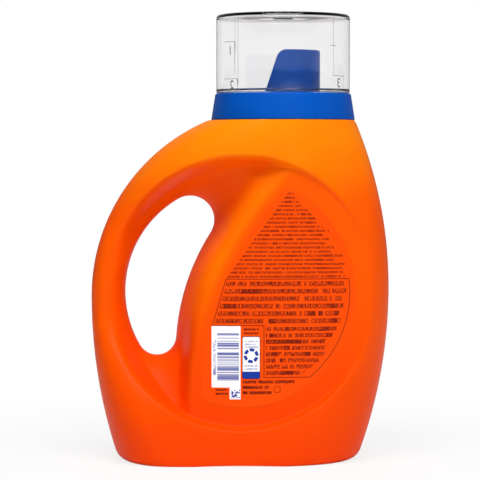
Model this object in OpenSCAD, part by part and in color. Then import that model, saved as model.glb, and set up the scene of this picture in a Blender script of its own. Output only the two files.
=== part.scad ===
// Laundry detergent bottle with a blown-in handle, a pour spout and a measuring cup as its cap.
// X runs to the right from the handle, the broad faces look along Y, and Z is up.
// The origin is the middle of the foot, on the surface that the bottle stands on.

/* [Bottle] */
// Overall width, from the back of the grip to the far side
bottle_w = 161.2; // [152:0.2:172]
// Depth of the belly, front to back
bottle_d = 86; // [82:0.5:94]
// Height of the flat shoulder that carries the neck
shoulder_z = 183.2; // [178:0.2:187]
// Height at which the bottle is widest
waist_z = 89.5; // [84:0.5:95]
// Wall of the blown plastic
wall = 1.2; // [0.8:0.1:1.8]
// Extra wall where the mould pinches the plastic, round the opening and at the foot
pinch_more = 0.8; // [0.6:0.1:1.2]
// Radius of the far side below the waist
far_low_r = 260; // [235:1:300]
// Radius of the grip side below the waist
grip_low_r = 269; // [240:1:300]
// Radius of the corner round the foot
foot_r = 5; // [4:0.5:7]
// How much the shoulder stands out past the foot of the collar
shoulder_lip = 1.5; // [0.8:0.1:2.5]
// The same on the far side
far_lip = 0.1; // [0:0.1:1]
// Depth of the grip, front to back
grip_d = 30; // [26:0.5:34]
// Width of the seam flat along the parting line
seam_w = 0.6; // [0.4:0.1:1]
// Radius of the dished underside
dish_r = 27; // [20:1:31]
// Depth of the dished underside
dish_h = 2.4; // [1.5:0.1:3]
// Rise of the arch between the two pads of the foot
pad_arch = 0.7; // [0.4:0.1:1]

/* [Recess and panel] */
// Distance of the round crease in each broad face from the widest lines of the bottle
ring_side = 7.1; // [5:0.1:9]
// Distance of that crease from the foot and from the shoulder
ring_end = 18.1; // [16:0.1:22]
// Shift of that crease across the bottle
ring_x = 0.5; // [-1:0.1:2]
// Shift of that crease upwards
ring_up = 0.2; // [-1:0.1:1]
// Width of the sloping ledge inside the crease
ledge_w = 3.7; // [3:0.1:5]
// Extra width of the ledge where it runs into the finger scoop
ledge_more = 5; // [3:0.2:7]
// Depth of the two label panels below the belly, at their highest line
panel_in = 5; // [3.5:0.1:7]
// Radius of each panel, bent about an upright axis
panel_r = 235; // [200:5:300]
// Place of that highest line across the bottle
panel_x = 6; // [0:0.5:12]
// Radius of the panel's edge beside the handle opening
flank_r = 171; // [160:1:185]
// Distance of that edge from the opening, halfway up it
flank_in = 10.5; // [8:0.5:13]

/* [Handle opening] */
// Distance of the middle of its upper end below the shoulder
hole_top_down = 53.8; // [51:0.1:56]
// Distance of that middle from the back of the grip
hole_top_in = 53.6; // [52:0.1:56]
// Radius of its upper end
hole_top_r = 13; // [11.5:0.1:14]
// Height of the middle of its lower end
hole_low_z = 66.5; // [64:0.1:70]
// Distance of that middle from the back of the grip
hole_low_in = 35.4; // [34:0.1:37]
// Radius of its lower end
hole_low_r = 10.5; // [9.5:0.1:12]
// Radius of its long edge along the grip
hole_grip_r = 58; // [54:0.5:64]
// Radius of its long edge along the body
hole_body_r = 121; // [110:1:135]

/* [Neck] */
// Distance of the neck's axis from the far side
neck_in = 57.3; // [56:0.1:58.5]
// Outer radius of the neck
neck_r = 35.2; // [34.6:0.1:35.5]
// Wall of the neck
neck_wall = 2; // [1.6:0.1:2.4]
// Height of the neck above the shoulder
neck_h = 12.4; // [11.5:0.1:13.5]
// How far the snap bead round the neck stands out
bead = 0.8; // [0.5:0.1:1]

/* [Pour spout] */
// How far the foot of the collar stands out past the neck
collar_out = 3.7; // [3.4:0.1:4.4]
// How much the collar narrows towards its top
collar_taper = 2.15; // [1.6:0.05:2.6]
// Wall of the collar and its plug
collar_wall = 1.5; // [1.2:0.1:1.6]
// Thickness of the collar's top
collar_top = 1.8; // [1.4:0.1:2.4]
// Gap between pieces that fit into each other
fit = 0.2; // [0.1:0.05:0.3]
// Depth of the drip trough below the top of the collar
trough_h = 16; // [14.5:0.5:18]
// Fall of the trough's floor towards the spout
trough_fall = 2.5; // [1.5:0.5:3.5]
// Outer radius of the spout
spout_r = 20; // [18:0.2:21]
// Wall of the spout
spout_wall = 1.5; // [1.2:0.1:1.8]
// Height of the pouring lip above the collar
spout_h = 23.2; // [20:0.2:28]
// Place of the slanted edge across the spout, at the lip's height
slant_x = -2.4; // [-5:0.1:1]
// Slope of that edge, across for each unit up
slant = 0.32; // [0.25:0.01:0.45]
// Rounding where the slanted edge meets the lip
lip_round = 5.5; // [3:0.5:7]

/* [Measuring cap] */
// How far the cup stands in from the edge of the collar's top
cup_in = 0.65; // [0.5:0.05:1.2]
// Height of the cup above the collar
cup_h = 42.4; // [38:0.1:48]
// Wall of the cup
cup_wall = 1.6; // [1.2:0.1:2.2]
// Rounding of the cup's edge
cup_edge = 2; // [1:0.1:3]
// Running gap between the cup and the collar
cup_gap = 0.3; // [0.25:0.05:0.4]
// Length of the threaded skirt inside the collar
skirt_h = 11; // [8:0.5:12]
// Room for the thread between the skirt and the plug
thread_room = 1.3; // [1.1:0.1:1.6]
// Radius of the moulding gate's well in the closed end
gate_r = 5; // [3:0.5:7]
// Depth of that well
gate_h = 0.8; // [0.5:0.1:1]

/* [Labels] */
// Radius of the label's round edge as a share of the round crease's
label_share = 0.823; // [0.76:0.001:0.845]
// Distance from the panel's edge to the label
label_in = 8; // [6:0.5:10]
// Corner radius of the label
label_corner = 6; // [4:0.5:8]
// Thickness of the label film
label_t = 0.15; // [0.1:0.05:0.3]

/* [Hidden] */

// Depth lost at the foot, over the height that the belly takes to fill out, and at the foot's corner
foot_tuck = 1;
belly_z = 16;
corner_tuck = 1.5;
// Height over which the belly draws in towards the shoulder
draw_h = 63.2;
// Reach of the rounding at the far side, and at the grip, the foot and the arch
far_reach = 52;
grip_reach = 9;
foot_reach = 26;
arch_reach = 20;
// Heights over which the rounding of the foot ends, with the second above the opening's lower end
foot_ends = [25, 11.5];
// Distances below the shoulder between which the rounding of the arch starts and the round shoulder forms
arch_starts = [71.2, 33.2];
round_starts = [65.2, 11.2];
// Height over which the grip grows out of the foot, and its inner face's place across the bottle
grip_starts = 18;
grip_inner = 2;
// Fullness of the rounded sides: 2 is a quarter circle's, and more is squarer
side_full = 2.3;
flank_full = 2.2;
// Reach of the rounding round the opening: at the grip, and what it gains below and above
hole_reach = 11;
scoop_low = 22;
scoop_high = 16;
// Heights over which the scoop below the opening ends, from the opening's lower end
low_ends = [-31.5, 18.5];
// Distances below the shoulder between which the scoop above the opening starts
high_starts = [83.2, 43.2];
// How much deeper the finger scoop's floor is than the panel, and how much more above the opening
scoop_in = 5;
scoop_drop = 3;
// How much flatter the scoop's rounding is below and above the opening than beside it
flat_low = 0.7;
flat_high = 0.6;
// Reach of the panel's wall beside the opening
flank_reach = 12;
// Half the width of the roll from the panel into the scoop, and what it gains upwards, from so far below
// the opening's lower end to so far below the shoulder
soft_w = 3.5;
soft_more = 5.5;
soft_ends = [26.5, 33.2];
// How far the roll lies outside the panel's edge, as a share of its width
soft_out = 0.3;
// Distance outside the panel's edge over which the ledge gets its extra width
ledge_grows = 25;
// How far the middle of the panel's edge circle lies below the line through the opening's middle
flank_drop = 3.4;
// Place of the eye, from halfway between the opening's two ends
eye_step = [-8.8, -4.1];
// Distance from the opening over which its extra wall fades
pinch_reach = 8;
// Half the distance between the pads of the foot
pad_span = 25;

// Places worked out from the sizes above
foot_x = bottle_w / 2;
neck_x = foot_x - neck_in;
collar_r = neck_r + collar_out;
collar_top_r = collar_r - collar_taper;
cup_r = collar_top_r - cup_in;
shoulder_r = collar_r + shoulder_lip;
arch_r = side_arc(neck_x - shoulder_r + foot_x, shoulder_z - waist_z + 1.6);
arch_c = [arch_r - foot_x, waist_z - 1.6];
far_up_r = side_arc(neck_in - collar_r - far_lip, shoulder_z - waist_z - 3.2);
far_up_c = [foot_x - far_up_r, waist_z + 3.2];
far_low_c = [foot_x - far_low_r, waist_z + 3.2];
grip_low_c = [grip_low_r - foot_x, waist_z - 1.6];
ring_c = [ring_x, shoulder_z / 2 + ring_up];
ring_r = min(foot_x - ring_side, shoulder_z / 2 - ring_end);
panel_y = bottle_d / 2 - panel_in;
scoop_y = panel_y - scoop_in;
hole_top_c = [hole_top_in - foot_x, shoulder_z - hole_top_down];
hole_low_c = [hole_low_in - foot_x, hole_low_z];
label_r = ring_r * label_share;
collar_z = shoulder_z + neck_h + fit + collar_top;
plug_r = neck_r - neck_wall - fit;
skirt_r = plug_r - collar_wall - thread_room;
cup_z = collar_z + cup_gap;
floor_z = collar_z - trough_h;

// Radius of a side that leaves its widest line upright and draws in by a over the height h
function side_arc(a, h) = (a * a + h * h) / (2 * a);
// Eased step from 0 at a to 1 at b
function ease(a, b, v) = let (u = max(0, min(1, (v - a) / (b - a)))) u * u * (3 - 2 * u);
// The same between two distances below the shoulder
function near_top(pair, z) = ease(shoulder_z - pair[0], shoulder_z - pair[1], z);
// Rounded rise from 0 to 1, steep at first and level at the end
function rise(t, n) = pow(1 - pow(1 - max(0, min(1, t)), n), 1 / n);
// Where two circles cross, on the left of the line from one to the other
function crossing(a, ra, b, rb) =
    let (
        d = b - a,
        l = norm(d),
        k = (ra * ra - rb * rb + l * l) / (2 * l),
        h = sqrt(ra * ra - k * k)
    )
    a + k * d / l + h * [-d.y, d.x] / l;
function unit(v) = v / norm(v);
function cross2(a, b) = a.x * b.y - a.y * b.x;
// Whether p lies in the corner at c that opens from towards a round to towards b
function in_corner(p, c, a, b) = cross2(a - c, p - c) >= 0 && cross2(p - c, b - c) >= 0;

// The panel's edge is a circle that keeps beside the opening's edge along the body
hole_grip_c = crossing(hole_top_c, hole_grip_r - hole_top_r, hole_low_c, hole_grip_r - hole_low_r);
hole_body_c = crossing(hole_top_c, hole_body_r + hole_top_r, hole_low_c, hole_body_r + hole_low_r);
hole_mid = (hole_top_c + hole_low_c) / 2;
to_body = unit(hole_body_c - hole_mid);
flank_c = hole_body_c + (flank_in + flank_r - hole_body_r) * to_body - flank_drop * [-to_body.y, to_body.x];
// Middle of the opening, from which the bottle's sections fan out
eye = hole_mid + eye_step;

// Distance in from the far side and from the grip side, drawn in round the foot
function foot_in(z) = foot_r * (1 - rise(z / foot_r, 2));
function far_in(p) =
    (p.y > far_up_c.y ? far_up_r - norm(p - far_up_c) : far_low_r - norm(p - far_low_c)) - foot_in(p.y);
function grip_in(p) =
    (p.y > arch_c.y ? arch_r - norm(p - arch_c) : grip_low_r - norm(p - grip_low_c)) - foot_in(p.y);

// Distance out from the edge of the handle opening, or 0 inside it
function hole_out(p) =
    let (
        grip = norm(p - hole_grip_c) - hole_grip_r,
        body = hole_body_r - norm(p - hole_body_c),
        by_grip = in_corner(p, hole_grip_c, hole_top_c, hole_low_c),
        by_body = in_corner(p, hole_body_c, hole_top_c, hole_low_c),
        within = (by_grip || by_body) && grip <= 0 && body <= 0,
        ends = min(norm(p - hole_top_c) - hole_top_r, norm(p - hole_low_c) - hole_low_r)
    )
    max(0, within ? 0 : by_grip && grip > 0 ? grip : by_body && body > 0 ? body : ends);

// Half depth of the plain body at a height
function belly(z) =
    bottle_d / 2 - foot_tuck * (1 - ease(0, belly_z, z)) - corner_tuck * (1 - rise(z / foot_r, 2))
    - (bottle_d / 2 - shoulder_r) * pow(max(0, 1 - (shoulder_z - z) / draw_h), 2);
// How far a point belongs to the body, from 0 in the grip to 1
function body_share(p) =
    1 - (1 - ease(-foot_x + hole_low_r, grip_inner, p.x)) * ease(grip_starts, waist_z - 6, p.y);
// Outer form before the recess: a rounded body that narrows to the grip and to the round shoulder
function plain_form(p) =
    let (
        z = max(0, min(shoulder_z, p.y)),
        full = grip_d / 2 + (belly(z) - grip_d / 2) * body_share(p),
        foot = 1 - ease(foot_ends[0], hole_low_z + foot_ends[1], z),
        reach = grip_reach + (foot_reach - grip_reach) * foot
            + (arch_reach - grip_reach) * near_top(arch_starts, z),
        low = full * rise(far_in(p) / far_reach, side_full) * rise(grip_in(p) / reach, flank_full),
        up = max(z, far_up_c.y),
        left = arch_c.x - sqrt(arch_r * arch_r - pow(up - arch_c.y, 2)),
        right = far_up_c.x + sqrt(far_up_r * far_up_r - pow(up - far_up_c.y, 2)),
        u = min(1, abs(2 * p.x - left - right) / (right - left)),
        high = belly(z) * sqrt(1 - u * u)
    )
    low + (high - low) * near_top(round_starts, z);
// Face of the label panel
function panel_form(p) = sqrt(panel_r * panel_r - pow(p.x - panel_x, 2)) - panel_r + panel_y;
// Half depth of the bottle at a point of its broad face
function form(p) =
    let (
        plain = plain_form(p),
        out = hole_out(p),
        flank = flank_r - norm(p - flank_c),
        above = near_top(high_starts, p.y),
        below = 1 - ease(low_ends[0], low_ends[1], p.y - hole_low_z),
        share = body_share(p),
        reach = hole_reach + scoop_low * below + scoop_high * above,
        floor_y = grip_d / 2 + (scoop_y - grip_d / 2) * share - scoop_drop * above * share,
        scoop = floor_y * rise(out / reach, 2 - flat_low * below - flat_high * above),
        soft = soft_w + soft_more * ease(hole_low_z - soft_ends[0], shoulder_z - soft_ends[1], p.y),
        panel = min(panel_form(p), (panel_y + 1) * rise(out / flank_reach, flank_full)),
        inside = scoop + (panel - scoop) * ease(-soft, soft, flank + soft_out * soft),
        width = ledge_w + ledge_more * ease(0, ledge_grows, -flank),
        depth = min(inside, plain),
        step = ease(0, width, ring_r - norm(p - ring_c))
    )
    max(seam_w / 2, plain + (depth - plain) * step);

// Distance along a ray from the eye to a circle, to its near side with -1 or its far side with 1
function ray(a, c, r, side) =
    let (
        u = [cos(a), sin(a)],
        b = (c - eye) * u,
        k = (c - eye) * (c - eye) - r * r
    )
    b + side * sqrt(max(0, b * b - k));
function bearing(p) =
    let (
        d = p - eye,
        a = atan2(d.y, d.x)
    )
    a < 0 ? a + 360 : a;
// Ends of the opening's four arcs, as seen from the eye
top_body_a = bearing(hole_top_c + hole_top_r * unit(hole_body_c - hole_top_c));
top_grip_a = bearing(hole_top_c + hole_top_r * unit(hole_top_c - hole_grip_c));
low_grip_a = bearing(hole_low_c + hole_low_r * unit(hole_low_c - hole_grip_c));
low_body_a = bearing(hole_low_c + hole_low_r * unit(hole_body_c - hole_low_c));
function hole_reach_at(a) =
    a < top_body_a || a > low_body_a ? ray(a, hole_body_c, hole_body_r, -1)
    : a < top_grip_a ? ray(a, hole_top_c, hole_top_r, 1)
    : a < low_grip_a ? ray(a, hole_grip_c, hole_grip_r, 1)
    : ray(a, hole_low_c, hole_low_r, 1);

// Middles of the two round corners of the foot
function foot_corner(c, r, side) =
    [c.x + side * sqrt(pow(r - foot_r, 2) - pow(foot_r - c.y, 2)), foot_r];
foot_far_c = foot_corner(far_low_c, far_low_r, 1);
foot_grip_c = foot_corner(grip_low_c, grip_low_r, -1);
// Distance along a ray from the eye to the bottle's outline
function outline_at(a) =
    let (
        u = [cos(a), sin(a)],
        sides = min(
            ray(a, u.y > 0 ? far_up_c : far_low_c, u.y > 0 ? far_up_r : far_low_r, 1),
            ray(a, u.y > 0 ? arch_c : grip_low_c, u.y > 0 ? arch_r : grip_low_r, 1)
        ),
        level = u.y > 0.01 ? (shoulder_z - eye.y) / u.y : u.y < -0.01 ? -eye.y / u.y : sides,
        far_hit = ray(a, foot_far_c, foot_r, 1),
        grip_hit = ray(a, foot_grip_c, foot_r, 1),
        down = [0, -foot_r],
        at_far = u.y < 0 && in_corner(
            eye + far_hit * u, foot_far_c, foot_far_c + down, 2 * foot_far_c - far_low_c),
        at_grip = u.y < 0 && in_corner(
            eye + grip_hit * u, foot_grip_c, 2 * foot_grip_c - grip_low_c, foot_grip_c + down)
    )
    at_far ? far_hit : at_grip ? grip_hit : min(sides, level);

// A closed skin round the handle. Sections fan out from the eye, each from the opening to the outline,
// with a row of points along the ledge and one along the crease, and the sections lie closer together where
// they meet the opening's edge at a slant. inset is the wall that is left outside the skin.
module skin(inset) {
    scoop_rows = 6;
    ledge_rows = 2;
    rim_rows = 4;
    last = scoop_rows + ledge_rows + rim_rows;
    around = 2 * last + 2;
    e = 0.3;
    function towards(p) =
        let (
            dx = (form(p + [e, 0]) - form(p - [e, 0])) / (2 * e),
            dz = (form(p + [0, e]) - form(p - [0, e])) / (2 * e)
        )
        [-dx, 1, -dz] / norm([dx, 1, dz]);
    function section(a) =
        let (
            u = [cos(a), sin(a)],
            at_hole = hole_reach_at(a),
            rim = outline_at(a),
            at_ring = max(at_hole + 2 * ledge_w, min(rim - ledge_w, ray(a, ring_c, ring_r, 1))),
            at_ledge = at_ring - ledge_w,
            rim_z = (eye + rim * u).y,
            at_rim = rim_z < foot_r || rim_z > shoulder_z - 0.01 ? rim - inset / abs(u.y) : rim,
            reaches = [
                for (j = [0:scoop_rows - 1]) at_hole + (at_ledge - at_hole) * (1 - cos(90 * j / scoop_rows)),
                for (j = [0:ledge_rows - 1]) at_ledge + (at_ring - at_ledge) * j / ledge_rows,
                for (j = [0:rim_rows]) at_ring + (at_rim - at_ring) * sin(90 * j / rim_rows)
            ],
            front = [
                for (r = reaches)
                    let (
                        p = eye + r * u,
                        pinch = max(1 - ease(0, pinch_reach, hole_out(p)), 1 - ease(0, 2 * foot_r, p.y)),
                        n = inset > 0 ? (inset + pinch * pinch_more) * towards(p) : [0, 0, 0]
                    )
                    [p.x - n.x, max(seam_w / 2, form(p) - n.y), p.y - n.z]
            ]
        )
        [
            for (j = [0:last]) [front[j].x, -front[j].y, front[j].z],
            for (j = [last:-1:0]) front[j]
        ];
    fan = 4.5;
    corners = [bearing(foot_far_c + foot_r * unit([1, -1])), bearing(foot_grip_c + foot_r * unit([-1, -1]))];
    angles = [
        for (a = [0:fan:360 - fan])
            each (a > 15 && a < 50) || (a > 235 && a < 260) ? [a, a + fan / 2]
                : concat([a], [for (c = corners) if (c > a + 0.5 && c < a + fan - 0.5) c])
    ];
    fans = len(angles);
    points = [for (a = angles) each section(a)];
    faces = [
        for (i = [0:fans - 1], k = [0:around - 1])
            let (
                n = (i + 1) % fans,
                m = (k + 1) % around,
                a = i * around + k,
                b = i * around + m,
                c = n * around + m,
                d = n * around + k
            )
            each [[a, d, c], [a, c, b]]
    ];
    polyhedron(points, faces, convexity = 10);
}

// A ring or cup turned about the neck's axis
module turned(profile, sides = 120) {
    translate([neck_x, 0, 0]) rotate_extrude($fn = sides) polygon(profile);
}

// Neck with its snap bead, and the mouth through it
module neck() {
    foot = shoulder_z - wall / 2;
    top = shoulder_z + neck_h;
    snap = shoulder_z + neck_h / 2;
    turned([
        [0, foot], [neck_r, foot], [neck_r, snap - bead], [neck_r + bead, snap],
        [neck_r + bead, snap + bead], [neck_r, snap + 3 * bead], [neck_r, top], [0, top]
    ], 72);
}

module mouth() {
    translate([neck_x, 0, shoulder_z - 3 * wall])
        cylinder(r = neck_r - neck_wall, h = neck_h + 4 * wall, $fn = 72);
}

// Shallow dish under the bottle, grown by the wall for the inside
module dish(grow) {
    r = dish_r + grow;
    translate([ring_x, 0, -1]) cylinder(r1 = r + 1, r2 = r - dish_h, h = dish_h + 1 + grow, $fn = 60);
}

// Blow-moulded bottle, one hollow piece with the handle blown in, drawn to its exact width and depth.
// A belly that is slimmer than the round shoulder leaves the shoulder as the deepest part.
module bottle() {
    pad_r = (pad_span * pad_span + pad_arch * pad_arch) / (2 * pad_arch);
    color("orangered") resize([bottle_w, max(bottle_d, 2 * shoulder_r), 0]) difference() {
        union() {
            skin(0);
            neck();
        }
        difference() {
            skin(wall);
            dish(wall);
        }
        mouth();
        dish(0);
        translate([ring_x, 0, pad_arch - pad_r]) rotate([90, 0, 0])
            cylinder(r = pad_r, h = 2 * bottle_d, center = true, $fn = 360);
    }
}

// Collar, plug, drip trough and the slanted spout, moulded as one piece
module pour_spout() {
    in_r = plug_r - collar_wall;
    bore = spout_r - spout_wall;
    foot = shoulder_z + fit;
    color("royalblue") union() {
        turned([
            [collar_r, foot], [collar_top_r, collar_z - 0.6], [collar_top_r - 0.6, collar_z], [in_r, collar_z],
            [in_r, floor_z], [spout_r - 0.1, floor_z - trough_fall], [bore, floor_z - trough_fall],
            [bore, floor_z - trough_fall - collar_wall], [spout_r, floor_z - trough_fall - collar_wall],
            [plug_r, floor_z - collar_wall], [plug_r, collar_z - collar_top],
            [collar_top_r - collar_wall, collar_z - collar_top], [collar_r - collar_wall, foot]
        ]);
        spout();
    }
}

// Spout tube cut off on a slant, with its high lip on the side away from the handle
module spout() {
    top = collar_z + spout_h;
    low = floor_z - trough_fall - collar_wall;
    height = top - low;
    steep = [-slant, -1] / norm([slant, 1]);
    corner = [slant_x, top];
    turn = (180 - atan2(1, slant)) / 2;
    lip = lip_round * tan(90 - turn);
    centre = [slant_x + lip, top - lip_round];
    first = 180 - atan2(slant, 1);
    steps = 6;
    translate([neck_x, 0, 0]) intersection() {
        difference() {
            translate([0, 0, low]) cylinder(r = spout_r, h = height, $fn = 120);
            translate([0, 0, low - 1]) cylinder(r = spout_r - spout_wall, h = height + 2, $fn = 120);
        }
        rotate([90, 0, 0]) translate([0, 0, -2 * spout_r]) linear_extrude(4 * spout_r) polygon([
            [2 * spout_r, low - 1],
            [2 * spout_r, top],
            for (i = [0:steps])
                let (a = 90 + (first - 90) * i / steps)
                centre + lip_round * [cos(a), sin(a)],
            corner + height * 1.2 * steep / abs(steep.y),
            [2 * spout_r, low - 0.2 * height]
        ]);
    }
}

// Clear measuring cup, upside down as the cap, with the threaded skirt that screws into the collar
module measuring_cap() {
    top = collar_z + cup_h;
    inner = cup_r - cup_wall;
    skirt_in = skirt_r - cup_wall;
    steps = 5;
    bend = arc([cup_r - cup_edge, top - cup_edge], cup_edge, 0, 90, steps);
    color("lightgrey") turned([
        [skirt_in, cup_z + cup_wall], [skirt_in, cup_z - skirt_h], [skirt_r, cup_z - skirt_h],
        [skirt_r, cup_z], [cup_r, cup_z], each bend,
        [gate_r, top], [gate_r - gate_h, top - gate_h], [0, top - gate_h],
        [0, top - cup_wall - gate_h], [gate_r, top - cup_wall - gate_h],
        [gate_r + gate_h, top - cup_wall],
        [inner - cup_edge, top - cup_wall], [inner, top - cup_wall - cup_edge], [inner, cup_z + cup_wall]
    ]);
}

// Points along an arc
function arc(c, r, from, to, steps) = [
    for (i = [0:steps])
        let (a = from + (to - from) * i / steps)
        c + r * [cos(a), sin(a)]
];
// Outline of a label: a disc cut along the panel's edge, with round corners
function label_outline() =
    let (
        side_r = flank_r - label_in,
        low = crossing(ring_c, label_r - label_corner, flank_c, side_r - label_corner),
        high = crossing(flank_c, side_r - label_corner, ring_c, label_r - label_corner),
        heading = function (d) atan2(d.y, d.x),
        turned_round = function (a) a < 0 ? a + 360 : a,
        ring_low = heading(high - ring_c),
        ring_high = heading(low - ring_c),
        side_low = turned_round(heading(high - flank_c)),
        side_high = turned_round(heading(low - flank_c))
    )
    concat(
        arc(ring_c, label_r, ring_low, ring_high, 32),
        arc(low, label_corner, ring_high, side_high, 6),
        arc(flank_c, side_r, side_high, side_low, 16),
        arc(high, label_corner, side_low, ring_low + 360, 6)
    );

// Film label, a skin on the panel's face; side is -1 for the face seen with the handle on the left
module label(side) {
    reach = panel_y + 5;
    shift = fit / 2;
    intersection() {
        translate([panel_x, side * (panel_y - panel_r), 0]) difference() {
            cylinder(r = panel_r + shift + label_t, h = shoulder_z, $fn = 720);
            translate([0, 0, -1]) cylinder(r = panel_r + shift, h = shoulder_z + 2, $fn = 720);
        }
        translate([0, side > 0 ? reach : 0, 0]) rotate([90, 0, 0])
            linear_extrude(reach) polygon(label_outline());
    }
}

module back_label() {
    color("darkorange") label(-1);
}

module front_label() {
    color("darkorange") label(1);
}

bottle();
pour_spout();
measuring_cap();
back_label();
front_label();
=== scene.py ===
import math

import bmesh
import bpy
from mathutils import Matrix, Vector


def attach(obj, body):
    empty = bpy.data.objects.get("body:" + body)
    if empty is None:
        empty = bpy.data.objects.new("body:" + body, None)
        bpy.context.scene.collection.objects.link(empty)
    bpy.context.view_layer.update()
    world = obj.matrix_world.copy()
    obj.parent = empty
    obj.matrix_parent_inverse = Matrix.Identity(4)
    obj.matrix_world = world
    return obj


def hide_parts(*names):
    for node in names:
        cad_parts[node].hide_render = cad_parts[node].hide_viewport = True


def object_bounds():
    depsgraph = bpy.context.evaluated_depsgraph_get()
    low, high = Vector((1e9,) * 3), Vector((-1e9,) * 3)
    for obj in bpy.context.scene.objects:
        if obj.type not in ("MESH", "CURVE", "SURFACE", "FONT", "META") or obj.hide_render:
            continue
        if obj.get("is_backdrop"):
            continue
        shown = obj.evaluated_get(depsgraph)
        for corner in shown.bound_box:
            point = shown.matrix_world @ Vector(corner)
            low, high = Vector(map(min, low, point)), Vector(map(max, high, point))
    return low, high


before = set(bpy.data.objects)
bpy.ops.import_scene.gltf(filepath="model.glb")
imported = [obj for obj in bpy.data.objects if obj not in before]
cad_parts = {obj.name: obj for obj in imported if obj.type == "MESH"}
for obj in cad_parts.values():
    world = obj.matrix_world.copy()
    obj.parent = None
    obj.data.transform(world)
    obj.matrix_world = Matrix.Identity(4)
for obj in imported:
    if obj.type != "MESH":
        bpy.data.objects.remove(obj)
cad_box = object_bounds()

# The studio: a camera in front of the printed face, a little above the shoulder, a pale floor under the
# foot, one large soft lamp above, and weaker ones in front, at the sides and behind.
CAMERA_AWAY, CAMERA_HIGH, AIM_DROP = 1.25, 0.166, 0.0477
LAMP_AIM = (0, 0, 0.12)
scene = bpy.context.scene
scene.view_settings.view_transform = "Standard"

camera_data = bpy.data.cameras.new("camera")
camera_data.sensor_width = 36
camera_data.lens = 172.8
camera_data.clip_end = 30
camera = bpy.data.objects.new("camera", camera_data)
camera.location = (0, -CAMERA_AWAY, CAMERA_HIGH)
camera.rotation_euler = (math.radians(90) - math.atan2(AIM_DROP, CAMERA_AWAY), 0, 0)
scene.collection.objects.link(camera)
scene.camera = camera


def lamp(name, place, size, watts):
    """A soft rectangular lamp that points at the middle of the bottle."""
    light = bpy.data.lights.new(name, "AREA")
    light.shape = "RECTANGLE"
    light.size, light.size_y = size
    light.energy = watts
    holder = bpy.data.objects.new(name, light)
    holder.location = place
    way = [a - p for a, p in zip(LAMP_AIM, place)]
    flat = math.hypot(way[0], way[1])
    holder.rotation_euler = (math.atan2(flat, -way[2]), 0, math.atan2(-way[0], way[1]) if flat > 1e-6 else 0)
    scene.collection.objects.link(holder)
    return holder


lamp("lamp above", (0.0, -0.7, 1.3), (1.2, 0.8), 22)
fills = (
    lamp("lamp in front", (0.6, -2.2, 0.5), (1.0, 0.8), 9.5),
    lamp("lamp left", (-1.5, -0.3, 0.5), (0.5, 1.0), 0.2),
    lamp("lamp right", (1.5, -0.3, 0.5), (0.5, 1.0), 2),
    lamp("lamp behind", (-0.3, 2.2, 0.9), (1.0, 0.8), 16))
for fill in fills:
    fill.visible_glossy = False
    fill.visible_transmission = False


class Wire:
    """One output of a node. Sums, products, powers and the like of wires add their Math nodes."""

    def __init__(self, tree, socket):
        self.tree = tree
        self.socket = socket

    @staticmethod
    def node(tree, kind, settings=None, values=None, output=0):
        """Adds a node, with its settings first and then the values or links of its inputs."""
        made = tree.nodes.new(kind)
        for name, value in (settings or {}).items():
            setattr(made, name, value)
        for name, value in (values or {}).items():
            for item in value if isinstance(value, list) else [value]:
                if isinstance(item, Wire):
                    tree.links.new(item.socket, made.inputs[name])
                else:
                    made.inputs[name].default_value = item
        return Wire(tree, made.outputs[output])

    def math(self, operation, *values):
        return Wire.node(self.tree, "ShaderNodeMath", {"operation": operation}, dict(enumerate(values)))

    def __add__(self, other):
        return self.math("ADD", self, other)

    def __radd__(self, other):
        return self.math("ADD", other, self)

    def __sub__(self, other):
        return self.math("SUBTRACT", self, other)

    def __rsub__(self, other):
        return self.math("SUBTRACT", other, self)

    def __mul__(self, other):
        return self.math("MULTIPLY", self, other)

    def __rmul__(self, other):
        return self.math("MULTIPLY", other, self)

    def __truediv__(self, other):
        return self.math("DIVIDE", self, other)

    def __rtruediv__(self, other):
        return self.math("DIVIDE", other, self)

    def __pow__(self, other):
        return self.math("POWER", self, other)

    def __neg__(self):
        return self.math("MULTIPLY", self, -1.0)

    def __abs__(self):
        return self.math("ABSOLUTE", self)

    def __floor__(self):
        return self.math("FLOOR", self)

    def __round__(self):
        return self.math("ROUND", self)

    def __mod__(self, other):
        return self.math("FLOORED_MODULO", self, other)

    def __gt__(self, other):
        return self.math("GREATER_THAN", self, other)

    def __lt__(self, other):
        return self.math("LESS_THAN", self, other)


def most(a, b):
    return a.math("MAXIMUM", a, b)


def axes(place):
    """The three coordinates of a place."""
    ports = Wire.node(place.tree, "ShaderNodeSeparateXYZ", {}, {0: place}).socket.node.outputs
    return [Wire(place.tree, ports[axis]) for axis in "XYZ"]


def own_place(tree):
    """Where a point of the surface lies on its own object."""
    return Wire.node(tree, "ShaderNodeTexCoord", {}, {}, "Object")


def ease(low, high, a):
    settings = {"interpolation_type": "SMOOTHSTEP"}
    return Wire.node(a.tree, "ShaderNodeMapRange", settings, {"Value": a, "From Min": low, "From Max": high})


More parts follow.
